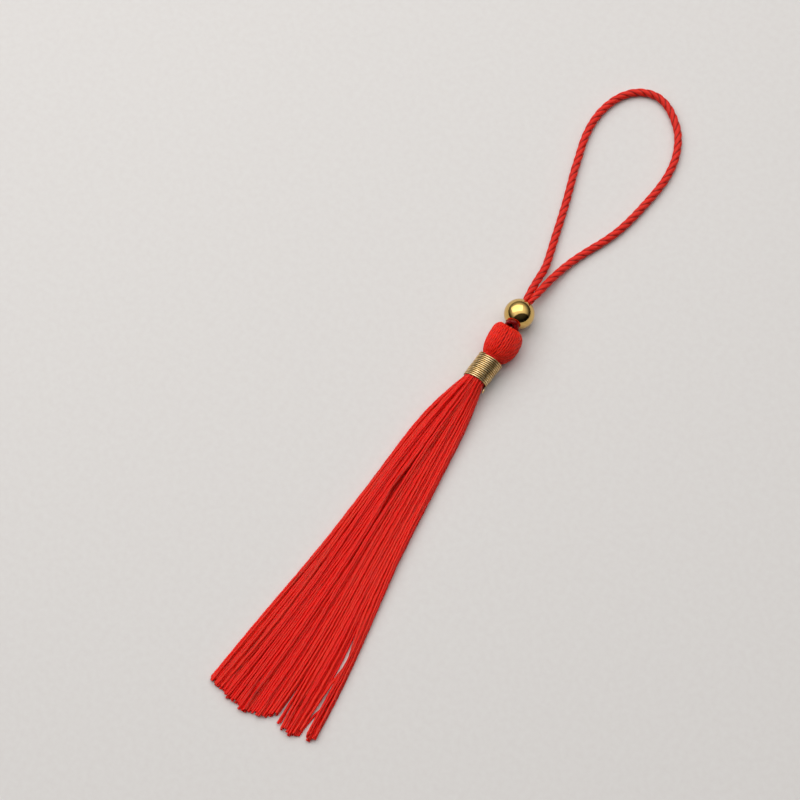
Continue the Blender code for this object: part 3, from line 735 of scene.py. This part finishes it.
def settle_fringe():
    """Rows down the fringe, the places and heights of the yarns' middles there, and their locks."""
    rng = np.random.default_rng(7)
    down = np.arange(NECK_END_MM, FRINGE_OUTLINE[-1][0] + FRINGE_ROW_MM, FRINGE_ROW_MM)
    below = down - down[0]
    outline_down, outline_left, outline_right = np.array(FRINGE_OUTLINE).T
    left_edge = np.interp(down, outline_down, outline_left)
    right_edge = np.interp(down, outline_down, outline_right)
    middle, half = (left_edge + right_edge) / 2, (right_edge - left_edge) / 2

    # The yarns fill the neck's round section evenly, each one a golden angle on from the last
    k = np.arange(FRINGE_YARNS)
    root_angle = k * math.pi * (3 - math.sqrt(5))
    root_reach = NECK_RADIUS_MM * np.sqrt((k + 0.5) / FRINGE_YARNS)
    root_x, root_z = root_reach * np.cos(root_angle), root_reach * np.sin(root_angle)
    order = np.argsort(root_x + rng.normal(0.0, ORDER_MIX_MM, FRINGE_YARNS))
    under = root_z < UNDER_SHARE * NECK_RADIUS_MM
    lock, bunch, end_x, lean = gather_locks(rng, order, under)
    locks = lock.max() + 1

    # The line that each yarn is drawn to, and the pile that it starts from
    share = ease(below, FAN_OUT_MM)
    end_lane = (end_x - middle[-1]) / half[-1]
    lane = (root_x / NECK_RADIUS_MM)[:, None] * (1 - share) + end_lane[:, None] * share
    drift = rng.normal(0.0, LOCK_DRIFT, (locks, 2))[lock] + rng.normal(0.0, YARN_DRIFT, (len(k), 2))
    for wave in range(2):
        lane += drift[:, wave:wave + 1] * np.sin(math.pi * (wave + 1) * (below / below[-1]))
    part_down, part_gap = np.array(PARTING).T
    aim = middle + lane * half * PILE_REACH + lean[:, None] * np.interp(down, part_down, part_gap)
    pile = np.clip(PILE_SECTION_MM2 / (math.pi * half), *PILE_HALF_HEIGHT_MM)
    sag = np.clip(NECK_END_HEIGHT_MM - PILE_SLOPE * below, 0.0, None)
    x, z = aim.copy(), np.maximum(sag, pile) + np.outer(root_z / NECK_RADIUS_MM, pile)

    apart = ease(below, COME_APART_MM)
    same = (lock[:, None] == lock[None, :])[:, :, None]
    pitch = np.where(same, NECK_PITCH_MM + (OWN_LOCK_PITCH_MM - NECK_PITCH_MM) * apart,
                     NECK_PITCH_MM + (OTHER_LOCK_PITCH_MM - NECK_PITCH_MM) * apart)
    pitch[k, k] = 0.0
    free_fall = np.minimum(1.0, below / FALL_MM)
    cling = np.clip(below / CLING_MM, 0.0, 1.0)
    belongs = np.array([(lock == one) / (lock == one).sum() for one in range(locks)])
    left, right = bunch_limits(down, left_edge, right_edge, bunch, under)
    floor = YARN_DIAMETER_MM / 2
    for step in range(SETTLE_ROUNDS):
        soft = max(LEAST_SHARE, 1.0 - step / (SETTLE_WEAKENS_OVER * SETTLE_ROUNDS))
        for place in (x, z):
            bend = (place[:, :-2] + place[:, 2:]) / 2 - place[:, 1:-1]
            place[:, 1:-1] += STRAIGHTEN * soft * bend
            place[:, -1] += STRAIGHTEN_END * soft * (2 * place[:, -2] - place[:, -3] - place[:, -1])
        x += DRAW_TO_LINE * soft * (aim - x)
        kept = DRAW_TO_LOCK_KEPT + (1 - DRAW_TO_LOCK_KEPT) * soft
        gather = DRAW_TO_LOCK * kept * cling * ~under[:, None]
        x += gather * ((belongs @ x)[lock] - x)
        z += gather * ((belongs @ z)[lock] - z)
        z -= (SINK_LEAST_MM + SINK_MORE_MM * soft) * free_fall
        dx, dz = x[:, None, :] - x[None, :, :], z[:, None, :] - z[None, :, :]
        distance = np.sqrt(dx * dx + dz * dz) + 1e-9
        push = PUSH_APART * np.clip(pitch - distance, 0.0, None) / distance
        x = np.clip(x + (push * dx).sum(axis=1), left, right)
        z = np.maximum(z + (push * dz).sum(axis=1), floor)
        x[:, 0], z[:, 0] = middle[0] + root_x, NECK_END_HEIGHT_MM + root_z
    for step in range(SMOOTH_ROUNDS):
        for place in (x, z):
            place[:, 1:-1] += ((place[:, :-2] + place[:, 2:]) / 2 - place[:, 1:-1]) / 2
        x = np.clip(x, left, right)
        z = np.maximum(z, floor)
    return down, x, z, lock


fringe_down, fringe_x, fringe_z, fringe_lock = settle_fringe()
fringe_rng = np.random.default_rng(23)
cut_x, cut_down = np.array(FRINGE_CUT).T
full_along, fullness = np.array(YARN_FULLNESS).T
lock_x = np.array([fringe_x[fringe_lock == one, -1].mean() for one in range(fringe_lock.max() + 1)])
lock_cut = np.interp(lock_x, cut_x, cut_down) + fringe_rng.uniform(*LOCK_CUT_MM, len(lock_x))
fringe_routes, fringe_radii, fringe_tilts = [], [], []
for yarn in range(FRINGE_YARNS):
    aside = abs(fringe_x[yarn, -1] - lock_x[fringe_lock[yarn]])
    end = lock_cut[fringe_lock[yarn]] - CUT_SLANT * aside + fringe_rng.uniform(*YARN_CUT_MM)
    rows = fringe_down[fringe_down < end - YARN_DIAMETER_MM]
    down = np.concatenate([[FRINGE_START_MM], rows, [end]])
    x = np.concatenate([[fringe_x[yarn, 0]], np.interp(down[1:], fringe_down, fringe_x[yarn])])
    z = np.concatenate([[fringe_z[yarn, 0]], np.interp(down[1:], fringe_down, fringe_z[yarn])])
    route = smooth_route(np.column_stack([x, BEAD_Y_MM - down, z]), FRINGE_STEP_MM)
    along = np.arange(len(route)) * FRINGE_STEP_MM
    thick = np.interp(along, full_along, fullness) * fringe_rng.uniform(*YARN_UNEVENNESS)
    route[:, 2] = np.maximum(route[:, 2], thick * YARN_DIAMETER_MM / 2)
    fringe_routes.append(route)
    fringe_radii.append(thick)
    fringe_tilts.append(fringe_rng.uniform(*ANY_TURN) + 2 * math.pi * along / FRINGE_LAY_MM)
# The hanging yarns have untwisted, so they show long smooth lines with softer ply grooves and paler
# painted shade in them
fringe_silk = silk_material("dyed_silk_fringe", ("#EE130A", "#E91B0D", "#E8301C"), "#ECE0E0",
                            YARN_DIAMETER_MM / 2, YARN_PLIES, roughness=0.42, depth_mm=0.5)
# Three pieces from left to right, with as many yarns in each
side_of = np.argsort(np.argsort(fringe_lock, kind="stable"), kind="stable") * 3 // FRINGE_YARNS
for side, name in enumerate(("fringe_left", "fringe_middle", "fringe_right")):
    chosen = np.flatnonzero(side_of == side)
    piece = lay_threads(name, [fringe_routes[i] for i in chosen], [fringe_radii[i] for i in chosen],
                        [fringe_tilts[i] for i in chosen], fringe_silk,
                        {**yarn_sizes, "Valley": 0.84, "Seed": 20 + side})
    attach(piece, "root")
    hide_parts("silk_tassel")


# Neck binding
# Gold thread, a metal foil strip wrapped on a core, wound side by side round the neck, with its
# end brought out below on the right. It hides the fringe's roots.
BINDING_TURNS = 13.55
BINDING_THREAD_MM = 0.34
BINDING_STEPS_PER_TURN = 48
BINDING_START_ANGLE = 2.2
# How far a turn strays off the neck, and along it as a share of that
BINDING_STRAY_MM = 0.018
BINDING_STRAY_ALONG = 0.6
BINDING_TAIL_STEP_MM = 0.12
# The foil's wraps are too fine to show from here, so they are drawn as long as they need
FOIL_WRAP_MM = 0.5
FOIL_WRAP_ACROSS = 0.5
FOIL_EDGE_MM = 0.03
# Columns: distance below the bead's centre, distance of the thread's middle from the neck's axis
BINDING_COURSE = (
    (10.28, 1.90),
    (10.30, 2.27),
    (15.22, 2.17),
)
# Columns: distance below the bead's centre, sideways shift of the neck's axis
NECK_SHIFT = (
    (9.72, 0.32),
    (15.80, -0.20),
)
# Columns: sideways place, distance below the bead's centre, height
BINDING_TAIL = (
    (1.82, 15.28, 1.82),
    (1.97, 15.42, 2.10),
    (2.08, 15.70, 2.25),
    (2.18, 16.25, 2.15),
)

# Metal foil wrapped on a core: a gold shine broken up by the edges of its wraps, and painted shade,
# dark brown, in the grooves between turns
foil, tree, shader = new_material("gold_foil_thread")
place = add_node(tree, "ShaderNodeAttribute", {"attribute_name": "thread_place"})
wrap = add_node(tree, "ShaderNodeVectorMath",
                {"operation": "MULTIPLY",
                 1: (FOIL_WRAP_ACROSS, FOIL_WRAP_ACROSS, 1 / (FOIL_WRAP_MM * MM))},
                {0: place.outputs["Vector"]})
wraps = add_node(tree, "ShaderNodeTexNoise", {"Scale": 1.0, "Detail": 1.0},
                 {"Vector": wrap.outputs["Vector"]})
colour = ramp_node(tree, wraps.outputs["Fac"],
                   ((0.3, "#CBA86A"), (0.5, "#E4C186"), (0.7, "#F6DEAC")))
# Painted shade: dark brown where the thread sinks into the grooves between turns
crest = add_node(tree, "ShaderNodeAttribute", {"attribute_name": "thread_crest"})
groove_shade = ramp_node(tree, crest.outputs["Fac"],
                   ((0.05, "#2A1704"), (0.42, "#9A743A"), (0.72, "#FFFFFF")))
colour = add_node(tree, "ShaderNodeMix",
                  {"data_type": "RGBA", "blend_type": "MULTIPLY", "Factor": 1.0},
                  {6: colour.outputs["Color"], 7: groove_shade.outputs["Color"]})
bump = add_node(tree, "ShaderNodeBump", {"Strength": 0.5, "Distance": FOIL_EDGE_MM * MM},
                {"Height": wraps.outputs["Fac"]})
tree.links.new(colour.outputs[2], shader.inputs["Base Color"])
tree.links.new(bump.outputs["Normal"], shader.inputs["Normal"])
shader.inputs["Metallic"].default_value = 1.0
shader.inputs["Roughness"].default_value = 0.30

binding_rng = np.random.default_rng(3)
course_down, course_reach = np.array(BINDING_COURSE).T
neck_down, neck_shift = np.array(NECK_SHIFT).T
share = np.linspace(0.0, 1.0, round(BINDING_TURNS * BINDING_STEPS_PER_TURN))
angle = 2 * math.pi * BINDING_TURNS * share + BINDING_START_ANGLE
down = course_down[0] + (course_down[-1] - course_down[0]) * share
turns = np.arange(math.ceil(BINDING_TURNS) + 2)
strays = binding_rng.normal(0.0, BINDING_STRAY_MM, len(turns))
stray = np.interp(share * BINDING_TURNS, turns, strays)
reach = np.interp(down, course_down, course_reach) + stray
binding_route = np.column_stack([
    np.interp(down, neck_down, neck_shift) + reach * np.cos(angle),
    BEAD_Y_MM - down - stray * BINDING_STRAY_ALONG,
    axis_height(down) + reach * np.sin(angle)])
tail = np.array(BINDING_TAIL)
tail[:, 1] = BEAD_Y_MM - tail[:, 1]
tail_route = smooth_route(np.vstack([binding_route[-2:], tail]), BINDING_TAIL_STEP_MM)
binding_route = np.vstack([binding_route[:-1], tail_route[1:]])
binding = lay_threads("gold_thread_winding", [binding_route], [np.ones(len(binding_route))],
                      [np.zeros(len(binding_route))], foil,
                      {"Radius": BINDING_THREAD_MM / 2 * MM, "Plies": 2.0, "Valley": 1.0,
                       "Roundness": 1.0, "Sides": 12, "Seed": 12}, normals="MINIMUM")
# How far each point of the thread stands out of the grooves between turns, for its painted shade
point = np.empty(3 * len(binding.data.vertices))
binding.data.vertices.foreach_get("co", point)
point = point.reshape(-1, 3) / MM
point_down = BEAD_Y_MM - point[:, 1]
aside = point[:, 0] - np.interp(point_down, neck_down, neck_shift)
out = np.hypot(aside, point[:, 2] - axis_height(point_down))
stand = (out - np.interp(point_down, course_down, course_reach)) / (BINDING_THREAD_MM / 2)
stand[point_down > course_down[-1] + BINDING_THREAD_MM / 2] = 1.0
thread_crest = binding.data.attributes.new("thread_crest", "FLOAT", "POINT")
thread_crest.data.foreach_set("value", np.clip(stand, 0.0, 1.0))
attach(binding, "root")
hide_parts("neck_binding")


# Bead
# A brass ball, turned, bored and gold plated, polished like a mirror. The cord's two legs hold it
# above the knot and it rests on the table.
BEAD_RADIUS_MM = 2.8
BEAD_BORE_RADIUS_MM = 1.3
BORE_EDGE_ROUNDING_MM = 0.14
BEAD_SIDES = 96
BEAD_ROWS = 56
POLISH_PATCHES_PER_MM = 1.5

# Plated and polished: a gold mirror whose tint and gloss vary a very little
plate, tree, shader = new_material("polished_gold_plate")
polish = add_node(tree, "ShaderNodeTexNoise", {"Scale": POLISH_PATCHES_PER_MM / MM, "Detail": 3.0},
                  {"Vector": add_node(tree, "ShaderNodeTexCoord").outputs["Object"]})
colour = ramp_node(tree, polish.outputs["Fac"], ((0.3, "#D6B064"), (0.7, "#E0BC74")))
gloss = add_node(tree, "ShaderNodeMapRange", {"To Min": 0.06, "To Max": 0.14},
                 {"Value": polish.outputs["Fac"]})
tree.links.new(colour.outputs["Color"], shader.inputs["Base Color"])
tree.links.new(gloss.outputs["Result"], shader.inputs["Roughness"])
shader.inputs["Metallic"].default_value = 1.0


def bead_outline():
    """Distance along the bore and radius round it, from the bore's top mouth round to the bottom."""
    # The rounding starts on the bore's wall and is drawn towards a point near the sharp corner
    inner_share, corner_share = 1.6, 0.1
    mouth = math.asin(BEAD_BORE_RADIUS_MM / BEAD_RADIUS_MM)
    edge = BORE_EDGE_ROUNDING_MM / BEAD_RADIUS_MM
    places = []
    for polar in np.linspace(mouth + edge, math.pi - mouth - edge, BEAD_ROWS):
        places.append((BEAD_RADIUS_MM * math.cos(polar), BEAD_RADIUS_MM * math.sin(polar)))
    half_bore = BEAD_RADIUS_MM * math.cos(mouth)
    for side in (-1, 1):
        inner, corner = (
            np.array([side * (half_bore - share * BORE_EDGE_ROUNDING_MM), BEAD_BORE_RADIUS_MM])
            for share in (inner_share, corner_share))
        outer = np.array(places[-1] if side < 0 else places[0])
        bend = [(1 - t) ** 2 * outer + 2 * t * (1 - t) * corner + t * t * inner
                for t in (0.2, 0.4, 0.6, 0.8, 1.0)]
        places = places + bend if side < 0 else bend[::-1] + places
    return places


bm = bmesh.new()
rings = []
for along, reach in bead_outline():
    rings.append([bm.verts.new(Vector((reach * math.sin(turn), BEAD_Y_MM + along,
                                       BEAD_RADIUS_MM + reach * math.cos(turn))) * MM)
                  for turn in np.linspace(0, 2 * math.pi, BEAD_SIDES, endpoint=False)])
for near, far in zip(rings, rings[1:] + rings[:1]):
    for i in range(BEAD_SIDES):
        j = (i + 1) % BEAD_SIDES
        bm.faces.new((near[i], near[j], far[j], far[i]))
bmesh.ops.recalc_face_normals(bm, faces=bm.faces)
bead_mesh = bpy.data.meshes.new("bead_ball")
bm.to_mesh(bead_mesh)
bm.free()
bead_mesh.shade_smooth()
bead_mesh.materials.append(plate)
bead = bpy.data.objects.new("bead_ball", bead_mesh)
bpy.context.scene.collection.objects.link(bead)
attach(bead, "root")
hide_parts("bead")


# Table and light
# A pale plain table. Soft light comes from the upper left as from a wide window, and the room on
# the camera's side is dark, which is what the polished bead mirrors.
TABLE_SIDE = 6.0
TABLE_GRAINS_PER_MM = 0.9
KEY_DISTANCE = 0.35
KEY_WIDTH = 0.55
KEY_HEIGHT = 0.33
KEY_WATTS = 0.65
KEY_DIRECTION = Vector((-0.46, 0.29, 0.84))
# The room that shows in the bead. Each part of it lies round a direction, from the cosine where
# it begins to the one where it is full, and these are its shares of light there
WINDOW_EDGES = (0.30, 0.95)
WINDOW_SHARES = (0.0, 0.36)
CEILING_EDGES = (0.20, 0.88)
CEILING_SHARES = (0.05, 0.93)
DARK_DIRECTION = (0.683, -0.683, 0.259)
DARK_EDGES = (0.50, 0.58)
DARK_SHARES = (1.0, 0.06)

table_mesh = bpy.data.meshes.new("table")
half_side = TABLE_SIDE / 2
corners = [(x * half_side, y * half_side, 0) for x, y in ((-1, -1), (1, -1), (1, 1), (-1, 1))]
table_mesh.from_pydata(corners, [], [(0, 1, 2, 3)])
table = bpy.data.objects.new("table", table_mesh)
bpy.context.scene.collection.objects.link(table)
# Matt paint: a flat pale grey with hardly any grain
table_paint, tree, shader = new_material("painted_table")
grain = add_node(tree, "ShaderNodeTexNoise", {"Scale": TABLE_GRAINS_PER_MM / MM, "Detail": 3.0},
                 {"Vector": add_node(tree, "ShaderNodeTexCoord").outputs["Object"]})
colour = ramp_node(tree, grain.outputs["Fac"], ((0.3, "#D8D4D1"), (0.7, "#DBD8D5")))
tree.links.new(colour.outputs["Color"], shader.inputs["Base Color"])
shader.inputs["Roughness"].default_value = 0.6
table_mesh.materials.append(table_paint)

key_data = bpy.data.lights.new("window", "AREA")
key_data.shape = "RECTANGLE"
key_data.size = KEY_WIDTH
key_data.size_y = KEY_HEIGHT
key_data.energy = KEY_WATTS
key = bpy.data.objects.new("window", key_data)
key_back = KEY_DIRECTION.normalized()
key_side = (right - key_back * right.dot(key_back)).normalized()
key.matrix_world = Matrix((key_side, key_back.cross(key_side), key_back)).transposed().to_4x4()
key.location = key_back * KEY_DISTANCE
bpy.context.scene.collection.objects.link(key)

world = bpy.data.worlds.new("room")
world.use_nodes = True
bpy.context.scene.world = world
tree = world.node_tree
tree.nodes.clear()
direction = add_node(tree, "ShaderNodeTexCoord").outputs["Generated"]
parts = add_node(tree, "ShaderNodeSeparateXYZ", links={0: direction})
towards_key, towards_dark = (
    add_node(tree, "ShaderNodeVectorMath", {"operation": "DOT_PRODUCT", 1: axis}, {0: direction})
    for axis in (KEY_DIRECTION, DARK_DIRECTION))
window, ceiling, dark_side = (
    add_node(tree, "ShaderNodeMapRange",
             {"interpolation_type": "SMOOTHSTEP", "From Min": begins, "From Max": full,
              "To Min": share_outside, "To Max": share_inside}, {"Value": cosine})
    for cosine, (begins, full), (share_outside, share_inside) in (
        (towards_key.outputs["Value"], WINDOW_EDGES, WINDOW_SHARES),
        (parts.outputs["Z"], CEILING_EDGES, CEILING_SHARES),
        (towards_dark.outputs["Value"], DARK_EDGES, DARK_SHARES)))
room = add_node(tree, "ShaderNodeMath", {"operation": "ADD"},
                {0: window.outputs["Result"], 1: ceiling.outputs["Result"]})
room = add_node(tree, "ShaderNodeMath", {"operation": "MULTIPLY"},
                {0: room.outputs[0], 1: dark_side.outputs["Result"]})
light = add_node(tree, "ShaderNodeBackground", {"Color": linear("#FFFEFD")},
                 {"Strength": room.outputs[0]})
# Behind the table the camera sees a plain pale wall
backdrop = add_node(tree, "ShaderNodeBackground", {"Color": linear("#E2DFDB"), "Strength": 1.0})
seen = add_node(tree, "ShaderNodeLightPath")
mixed = add_node(tree, "ShaderNodeMixShader",
                 links={0: seen.outputs["Is Camera Ray"], 1: light.outputs[0], 2: backdrop.outputs[0]})
add_node(tree, "ShaderNodeOutputWorld", links={"Surface": mixed.outputs[0]})
